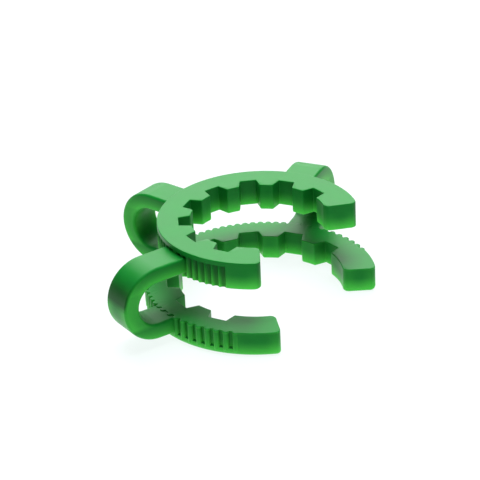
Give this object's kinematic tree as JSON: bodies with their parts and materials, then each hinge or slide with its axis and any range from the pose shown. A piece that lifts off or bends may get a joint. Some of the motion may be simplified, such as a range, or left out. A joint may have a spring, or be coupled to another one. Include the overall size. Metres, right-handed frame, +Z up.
{
  "type": "ground glass joint clip",
  "caption": "Sprung plastic clip that holds a conical ground glass joint together: two toothed C-shaped jaws, one over the other, joined by curved straps",
  "frame": {"origin": "on the common axis of both jaws, level with the flat underside of the lower jaw", "axes": "+Z up along the jaw axis from the lower jaw to the upper jaw, +X out of the open mouth of the jaws, the middle loop at -X"},
  "size_m": [0.0428, 0.0562, 0.0158],
  "materials": {
    "green_acetal": "moulded acetal, dyed through in mid green, satin gloss, slightly translucent at its edges"
  },
  "bodies": {
    "root": {"clip": "green_acetal"}
  },
  "joints": []
}
